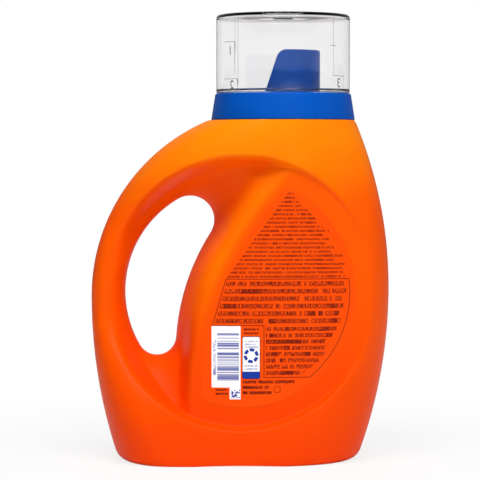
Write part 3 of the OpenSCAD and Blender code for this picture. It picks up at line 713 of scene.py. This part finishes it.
def print_finish(tree):
    """The print on the shown side. Places and sizes are millimetres on the bottle's drawing."""
    x, y, z = axes(own_place(tree))
    front = y < 0
    x, z = x * 1000, z * 1000
    ink_red, blue, white = (0.1, 0.006, 0.003, 1), (0.01, 0.04, 0.32, 1), (0.88, 0.88, 0.9, 1)
    from_ring = ((x - RING_C[0]) ** 2 + (z - RING_C[1]) ** 2) ** 0.5
    edge = RING_C[0] + most(PRINT_R ** 2 - (z - RING_C[1]) * (z - RING_C[1]), 0.0) ** 0.5

    # A leaf of fine print fills the top. Its first rows are short and stand under the leaf's tip.
    fine_top = 144.2
    slanted = 25.0 - (fine_top - z) * 0.7206
    ragged = least((fine_top + 1 - z) * 0.35, 7.0)
    fine = marks(tree, x, z, fine_top, 2.19, 21, slanted, most(edge, 28.8), 1.25, ragged, 3.0, 0.5) * 0.8

    # A thin line frames the larger print below it, with a notch for the white field and the patch.
    frame_top, frame_low, notch_x, notch_z, line_half = 99.1, 47.2, 12.65, 74.6, 0.2
    frame_left = -7.4 - (frame_top - z) * 0.29
    inner_corner = most(x - notch_x, z - notch_z)
    from_frame = least(z - frame_low, least(inner_corner, x - frame_left))
    from_frame = least(least(57.6 - from_ring, frame_top - z), from_frame)
    line = abs(from_frame) < line_half
    notch = within(x, -14.5, notch_x) * (abs(z - notch_z) < line_half)
    small = most(fine, most(line, notch))
    for top, pitch, rows, left, right, height, ends, seed, boldness in (
            (96.6, 3.93, 6, frame_left + 0.9, edge - 1.2, 2.5, 3.5, 11.0, 0.35),
            (72.7, 3.31, 8, 13.6, edge - 2.0, 2.2, 6.0, 23.0, 0.35),
            (44.8, 2.82, 1, 1.4, 29.3, 1.6, 1.0, 31.0, 0.6), (41.9, 2.82, 2, 1.4, 17.0, 1.6, 2.0, 37.0, 0.6),
            (72.6, 2.1, 2, 1.9, 10.2, 1.1, 1.0, 41.0, 0.6), (40.6, 2.1, 2, -12.9, -5.9, 1.1, 1.0, 43.0, 0.6)):
        rows_here = marks(tree, x, z, top, pitch, rows, left, right, height, ends, seed, boldness)
        small = most(small, rows_here)
    from_dot = ((x - 19.6) ** 2 + (z - 40.8) ** 2) ** 0.5
    small = most(small, abs(from_dot - 1.75) < 0.14)

    # A white field holds plain bars of random widths, a row of marks beside them and a few square tiles.
    field = within(x, -15.0, 0.3) * within(z, 41.8, 74.3)
    field = most(field, within(x, -5.5, 0.3) * within(z, 35.6, 41.9))
    chance = whole_chance(tree, math.floor(z / 0.55))
    bars = (chance > 0.3) * within(x, -12.0, -0.6) * within(z, 45.5, 70.5) * (0.3 + 0.7 * chance)
    beside = marks(tree, z, x, -13.4, 2.2, 1, 48.0, 67.0, 1.5, 0.5, 51.0, 0.0)
    tiles = pair_chance(tree, math.floor(x * 1.6), math.floor(z * 1.6)) > 0.5
    tiles = tiles * within(x, -4.6, 0.0) * within(z, 36.3, 40.6)

    # A white patch with round corners holds a ring of six dashes, a blue band and a few rows of marks.
    patch_x, patch_z, ring_z = 5.9, 57.6, 58.7
    past_x = most(abs(x - patch_x) - 3.5, 0.0)
    past_z = most(abs(z - patch_z) - 10.0, 0.0)
    past = (past_x ** 2 + past_z ** 2) ** 0.5
    patch = past < 1.0
    rim = within(past, 1.0, 1.35)
    turn = (z - ring_z).math("ARCTAN2", z - ring_z, x - patch_x) / (2 * math.pi) * 6 + 0.25
    dashes = (turn - math.floor(turn)) > 0.24
    ring = within(((x - patch_x) ** 2 + (z - ring_z) ** 2) ** 0.5, 2.3, 3.9) * dashes
    band = patch * (z < 50.3)
    words = marks(tree, x, z, 66.2, 1.5, 3, 2.4, 9.6, 0.8, 1.5, 61.0, 0.4)
    words = most(words, marks(tree, x, z, 53.3, 1.7, 2, 2.4, 9.6, 0.9, 1.0, 67.0, 0.5)) * 0.6

    dark_blue = most(most(field * most(most(bars, beside), tiles), most(ring, band)), words * patch)
    colour = tint(tree, front * most(small * 0.9, rim), film_tint(tree), ink_red)
    colour = tint(tree, front * most(field, patch), colour, white)
    colour = tint(tree, front * dark_blue, colour, blue)
    return film(tree, colour, 0.32 + small * 0.1)


def plain_finish(tree):
    return film(tree, film_tint(tree), 0.32)


for node, side, make in (("back_label", -1, print_finish), ("front_label", 1, plain_finish)):
    label = grow(node + "_film", label_form(side, finish_of(node, make)), sharp=40)
    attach(label, "bottle")
    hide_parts(node)

# The pour spout: one injection-moulded piece of blue polypropylene, a tapered collar with a plug inside it,
# a sloping drip trough and a tube cut off on a slant. It is pressed over the neck and snaps on its bead.
COLLAR_R, COLLAR_TOP_R, COLLAR_Z = 38.9, 36.75, 197.6
PLUG_R, PLUG_IN, TROUGH_Z = 33.0, 31.5, 181.6
SPOUT_R, SPOUT_IN, LIP_Z = 20.0, 18.5, 220.8
FLOOR_DROP, FLOOR_UNDER, RIM_WALL, RIM_THICK, SPOUT_SIDES = 2.5, 4, 1.5, 1.8, 192
SLANT_X, SLANT, LIP_ROUND = -2.4, 0.32, 5.5


def rounded(points, steps=5):
    """The closed outline through points (r, z, radius), with an arc of that radius at each corner."""
    made = []
    for i, (r, z, radius) in enumerate(points):
        before, after = points[i - 1], points[(i + 1) % len(points)]
        a = (before[0] - r, before[1] - z)
        b = (after[0] - r, after[1] - z)
        la, lb = math.hypot(*a), math.hypot(*b)
        a, b = (a[0] / la, a[1] / la), (b[0] / lb, b[1] / lb)
        half = math.acos(max(-1, min(1, a[0] * b[0] + a[1] * b[1]))) / 2
        if radius == 0 or half > 1.55:
            made.append((r, z))
            continue
        cut = min(radius / math.tan(half), 0.49 * la, 0.49 * lb)
        radius = cut * math.tan(half)
        middle = (a[0] + b[0], a[1] + b[1])
        size = math.hypot(*middle)
        away = radius / math.sin(half)
        centre = (r + middle[0] / size * away, z + middle[1] / size * away)
        start = math.atan2(z + a[1] * cut - centre[1], r + a[0] * cut - centre[0])
        end = math.atan2(z + b[1] * cut - centre[1], r + b[0] * cut - centre[0])
        sweep = (end - start + math.pi) % (2 * math.pi) - math.pi
        for k in range(steps + 1):
            angle = start + sweep * k / steps
            made.append((centre[0] + radius * math.cos(angle), centre[1] + radius * math.sin(angle)))
    return made


def turned_mesh(name, outline, sides, top_of=None):
    """Turns an outline about the neck's axis. top_of gives each outline point its height at a place in x."""
    points, faces, starts = [], [], []
    for k, (r, z) in enumerate(outline):
        starts.append(len(points))
        for i in range(sides if r > 1e-6 else 1):
            angle = 2 * math.pi * i / sides
            x, y = r * math.cos(angle), r * math.sin(angle)
            height = top_of(k, x) if top_of else z
            points.append(((x + NECK_X) * MM, y * MM, height * MM))
    for k in range(len(outline)):
        m = (k + 1) % len(outline)
        one, two = outline[k][0] <= 1e-6, outline[m][0] <= 1e-6
        for i in range(sides):
            j = (i + 1) % sides
            a, b = starts[k] + (0 if one else i), starts[k] + (0 if one else j)
            c, d = starts[m] + (0 if two else j), starts[m] + (0 if two else i)
            corners = [a, b, c, d]
            corners = [v for n, v in enumerate(corners) if v not in corners[:n]]
            if len(corners) > 2:
                faces.append(corners)
    mesh = bpy.data.meshes.new(name)
    mesh.from_pydata(points, [], faces)
    return outward(mesh)


def outward(mesh):
    """Merges doubles and points the faces of a closed mesh outwards."""
    work = bmesh.new()
    work.from_mesh(mesh)
    bmesh.ops.remove_doubles(work, verts=work.verts, dist=1e-7)
    bmesh.ops.recalc_face_normals(work, faces=work.faces)
    if work.calc_volume(signed=True) < 0:
        bmesh.ops.reverse_faces(work, faces=work.faces)
    work.to_mesh(mesh)
    work.free()
    return mesh


def lip_height(x):
    """Height of the slanted edge at a place across the spout, with its round turn into the lip."""
    turn = math.pi / 2 - math.atan(SLANT)
    lip = LIP_ROUND * math.tan(turn / 2)
    centre = (SLANT_X + lip, LIP_Z - LIP_ROUND)
    if x >= centre[0]:
        return LIP_Z
    if x > centre[0] - LIP_ROUND * math.cos(math.atan(SLANT)):
        return centre[1] + math.sqrt(LIP_ROUND ** 2 - (x - centre[0]) ** 2)
    return LIP_Z - (SLANT_X - x) / SLANT


# Round the tube the trough's floor lies FLOOR_DROP lower than at the plug.
collar = turned_mesh("pour_spout_body", rounded([
    (COLLAR_R, SHOULDER_Z + 0.2, 0.3), (COLLAR_TOP_R, COLLAR_Z - 0.6, 0.4),
    (COLLAR_TOP_R - 0.6, COLLAR_Z, 0.4), (PLUG_IN, COLLAR_Z, 0.5), (PLUG_IN, TROUGH_Z, 1.2),
    (SPOUT_R - 0.1, TROUGH_Z - FLOOR_DROP, 0.0), (SPOUT_IN, TROUGH_Z - FLOOR_DROP, 0.0),
    (SPOUT_IN, TROUGH_Z - FLOOR_UNDER, 0.0), (SPOUT_R, TROUGH_Z - FLOOR_UNDER, 0.4),
    (PLUG_R, TROUGH_Z - 1.5, 1.2), (PLUG_R, COLLAR_Z - RIM_THICK, 0.4),
    (COLLAR_TOP_R - RIM_WALL, COLLAR_Z - RIM_THICK, 0.4),
    (COLLAR_R - RIM_WALL, SHOULDER_Z + 0.2, 0.3)]), SPOUT_SIDES)
# The tube's wall has a round lip, so its rows near the top follow the slanted edge at growing depths.
tube_rows = 8
tube_mid, tube_half = (SPOUT_R + SPOUT_IN) / 2, (SPOUT_R - SPOUT_IN) / 2
tube_line = [(SPOUT_IN, 0.0), (SPOUT_R, 0.0)]
tube_drop = [None, None]
for k in range(tube_rows + 1):
    angle = math.pi * k / tube_rows
    tube_line.append((tube_mid + tube_half * math.cos(angle), 0.0))
    tube_drop.append(tube_half * (1 - math.sin(angle)))


def tube_height(k, x):
    """Height of a point of the tube's outline: its foot, or a row of its slanted lip."""
    if tube_drop[k] is None:
        return TROUGH_Z - FLOOR_UNDER
    lip = lip_height(x * tube_mid / tube_line[k][0]) - tube_drop[k]
    return max(lip, TROUGH_Z - FLOOR_UNDER + 0.1)


tube = bpy.data.objects.new("tube", turned_mesh("tube", tube_line, SPOUT_SIDES, tube_height))


def spout_finish(tree):
    spot = own_place(tree)
    cloud = noise(spot, 40.0, 3.0)
    grain = noise(spot, 1800.0, 2.0)
    colour = tint(tree, limit((cloud - 0.35) * 1.6), (0.0, 0.072, 0.41, 1), (0.0, 0.084, 0.47, 1))
    return Wire.node(tree, "ShaderNodeBsdfPrincipled", {}, {
        "Base Color": colour, "Roughness": 0.34 + cloud * 0.08, "Specular IOR Level": 0.1,
        "Normal": bumped(tree, 0.3, grain * 0.00002)})


def merged(name, base, tool, material, sharp=35):
    """Joins two closed meshes into one solid piece with a plain mesh."""
    piece = bpy.data.objects.new(name, base)
    scene.collection.objects.link(piece)
    if tool.name not in scene.collection.objects:
        scene.collection.objects.link(tool)
    union = piece.modifiers.new("join", "BOOLEAN")
    union.operation = "UNION"
    union.solver = "MANIFOLD"
    union.object = tool
    joined_mesh = bpy.data.meshes.new_from_object(piece.evaluated_get(bpy.context.evaluated_depsgraph_get()))
    piece.modifiers.clear()
    piece.data = joined_mesh
    joined_mesh.name = name
    joined_mesh.materials.clear()
    joined_mesh.materials.append(material)
    joined_mesh.shade_smooth()
    joined_mesh.set_sharp_from_angle(angle=math.radians(sharp))
    bpy.data.objects.remove(tool)
    return piece


spout = merged("pour_spout_body", collar, tube, finish_of("spout", spout_finish))
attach(spout, "bottle")
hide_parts("pour_spout")

# The measuring cap: one clear injection-moulded cup, upside down, with a well at its gate, measure lines on
# its wall and a screw thread round the skirt that goes into the collar.
CUP_R, CUP_WALL, CUP_TOP, CUP_Z = 36.1, 1.6, 240.0, 197.9
SKIRT_R, SKIRT_H = 30.2, 11.0
CUP_EDGE, GATE_R, GATE_H = 2.0, 5.0, 0.8
MARK_TOP, THREAD_UP, CUP_SIDES = 236.6, 1.6, 224

cup_shell = turned_mesh("measuring_cap_body", rounded([
    (SKIRT_R - CUP_WALL, CUP_Z + CUP_WALL, 0.5), (SKIRT_R - CUP_WALL, CUP_Z - SKIRT_H, 0.4),
    (SKIRT_R, CUP_Z - SKIRT_H, 0.4), (SKIRT_R, CUP_Z, 0.6), (CUP_R, CUP_Z, 0.4), (CUP_R, CUP_TOP, CUP_EDGE),
    (GATE_R, CUP_TOP, 0.5), (GATE_R - GATE_H, CUP_TOP - GATE_H, 0.5), (0.0, CUP_TOP - GATE_H, 0.0),
    (0.0, CUP_TOP - CUP_WALL - GATE_H, 0.0), (GATE_R, CUP_TOP - CUP_WALL - GATE_H, 0.5),
    (GATE_R + GATE_H, CUP_TOP - CUP_WALL, 0.5), (CUP_R - CUP_WALL, CUP_TOP - CUP_WALL, 1.6),
    (CUP_R - CUP_WALL, CUP_Z + CUP_WALL, 0.5)], 6), CUP_SIDES)


def cup_finish(tree):
    spot = own_place(tree)
    haze = noise(spot, 35.0, 3.0)
    wave = noise(spot, 45.0, 1.0)
    z = axes(spot)[2]
    # Painted shade: the closed end is seen edge on, through a long way of plastic, so it looks grey, and that
    # grey is painted into its colour.
    painted_end_shade = ease((CUP_TOP - 2.6) * MM, (CUP_TOP - 1.8) * MM, z)
    colour = tint(tree, haze, (0.94, 0.935, 0.94, 1), (0.97, 0.965, 0.967, 1))
    colour = tint(tree, painted_end_shade, colour, (0.74, 0.71, 0.7, 1))
    return Wire.node(tree, "ShaderNodeBsdfPrincipled", {}, {
        "Base Color": colour, "Roughness": 0.02 + haze * 0.03, "IOR": 1.49, "Transmission Weight": 1.0,
        "Normal": bumped(tree, 0.3, wave * 0.0001)})


cup_material = finish_of("cup", cup_finish)


marks_tree, at = tree_of("cup marks", {
    "Cup radius": CUP_R, "Rib width": 0.6, "Rib height": 0.06, "Digit size": 7.0, "Digit height": 0.08,
    "Skirt radius": SKIRT_R, "Thread pitch": 4.2, "Thread turns": 1.6, "Thread section": 0.85})


def on_wall(tree, mesh):
    """Bends a flat strip round the cup: x runs along the wall, y out of it and z up."""
    along, out, up = axes(Wire.node(tree, "GeometryNodeInputPosition"))
    radius = at["Cup radius"] * MM + out
    angle = along / (at["Cup radius"] * MM)
    spot = vector(tree, radius * sine(angle) + NECK_X * MM, radius * cosine(angle) * -1.0, up)
    return Wire.node(tree, "GeometryNodeSetPosition", {}, {"Geometry": mesh, "Position": spot})


def rib(from_angle, to_angle, low, high):
    """A raised line on the wall, between two angles from the front and two heights."""
    width = at["Cup radius"] * (math.radians(to_angle - from_angle) * MM) + at["Rib width"] * MM
    length = (high - low) * MM + at["Rib width"] * MM
    size = vector(marks_tree, width, at["Rib height"] * (2 * MM), length)
    bar = Wire.node(marks_tree, "GeometryNodeMeshCube", {}, {"Size": size, "Vertices X": 9})
    # The outer face is smaller all round, so the sides slope like a moulded rib's.
    slope = at["Rib width"] * (0.8 * MM)
    along, out, up = axes(Wire.node(marks_tree, "GeometryNodeInputPosition"))
    outer = out > 0.0
    narrow = vector(
        marks_tree, along * (-1.0 * slope / width) * outer, 0.0, up * (-1.0 * slope / length) * outer)
    bar = Wire.node(marks_tree, "GeometryNodeSetPosition", {}, {"Geometry": bar, "Offset": narrow})
    middle = math.radians((from_angle + to_angle) / 2)
    shift = vector(marks_tree, at["Cup radius"] * (middle * MM), 0.0, (low + high) / 2 * MM)
    return Wire.node(marks_tree, "GeometryNodeTransform", {}, {"Geometry": bar, "Translation": shift})


def digit(text, angle, height):
    """A raised digit that stands upright when the cup does, so it is upside down on the bottle."""
    curves = Wire.node(marks_tree, "GeometryNodeStringToCurves", {"align_x": "CENTER", "align_y": "MIDDLE"}, {
        "String": text, "Size": at["Digit size"] * MM}, "Curve Instances")
    real = Wire.node(marks_tree, "GeometryNodeRealizeInstances", {}, {"Geometry": curves})
    flat = Wire.node(marks_tree, "GeometryNodeFillCurve", {}, {"Curve": real})
    raised = Wire.node(marks_tree, "GeometryNodeExtrudeMesh", {}, {
        "Mesh": flat, "Offset Scale": at["Digit height"] * (2 * MM), "Individual": False})
    back = Wire.node(marks_tree, "GeometryNodeFlipFaces", {}, {"Mesh": flat})
    solid = Wire.node(marks_tree, "GeometryNodeJoinGeometry", {}, {"Geometry": [raised, back]})
    solid = Wire.node(marks_tree, "GeometryNodeMergeByDistance", {}, {"Geometry": solid, "Distance": 1e-7})
    shift = vector(
        marks_tree, at["Cup radius"] * (math.radians(angle) * MM), at["Digit height"] * -MM, height * MM)
    return Wire.node(marks_tree, "GeometryNodeTransform", {}, {
        "Geometry": solid, "Translation": shift, "Rotation": (-math.pi / 2, math.pi, 0)})


bars = [
    rib(-45.8, -45.8, 224.6, MARK_TOP), rib(-61, -45.8, 224.6, 224.6), rib(-42.3, -42.3, 204.9, MARK_TOP),
    rib(-61, -42.3, 204.9, 204.9), rib(46.7, 46.7, 206.5, MARK_TOP), rib(46.7, 63, 206.5, 206.5),
    rib(43, 50, 222.5, 222.5)]
digits = [digit("1", -52, 219.6), digit("2", -50, 201.4), digit("3", 54, 202.6)]
flat_marks = Wire.node(marks_tree, "GeometryNodeJoinGeometry", {}, {"Geometry": bars + digits})
wrapped = on_wall(marks_tree, flat_marks)
helix = Wire.node(marks_tree, "GeometryNodeCurveSpiral", {}, {
    "Resolution": 96, "Rotations": at["Thread turns"], "Start Radius": at["Skirt radius"] * MM,
    "End Radius": at["Skirt radius"] * MM, "Height": at["Thread pitch"] * at["Thread turns"] * MM})
ridge = Wire.node(marks_tree, "GeometryNodeCurvePrimitiveCircle", {}, {
    "Resolution": 8, "Radius": at["Thread section"] * MM})
thread = Wire.node(marks_tree, "GeometryNodeCurveToMesh", {}, {
    "Curve": helix, "Profile Curve": ridge, "Fill Caps": True})
thread = moved(marks_tree, thread, (NECK_X, 0, CUP_Z - SKIRT_H + THREAD_UP))
relief = Wire.node(marks_tree, "GeometryNodeJoinGeometry", {}, {"Geometry": [wrapped, thread]})
close_tree(marks_tree, relief, cup_material)
cup_marks = grow("cup_marks", marks_tree)

cup = merged("measuring_cap_body", cup_shell, cup_marks, cup_material)
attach(cup, "measuring_cap")
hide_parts("measuring_cap")

visual_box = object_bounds()
{"cad": [list(c) for c in cad_box], "visual": [list(c) for c in visual_box]}
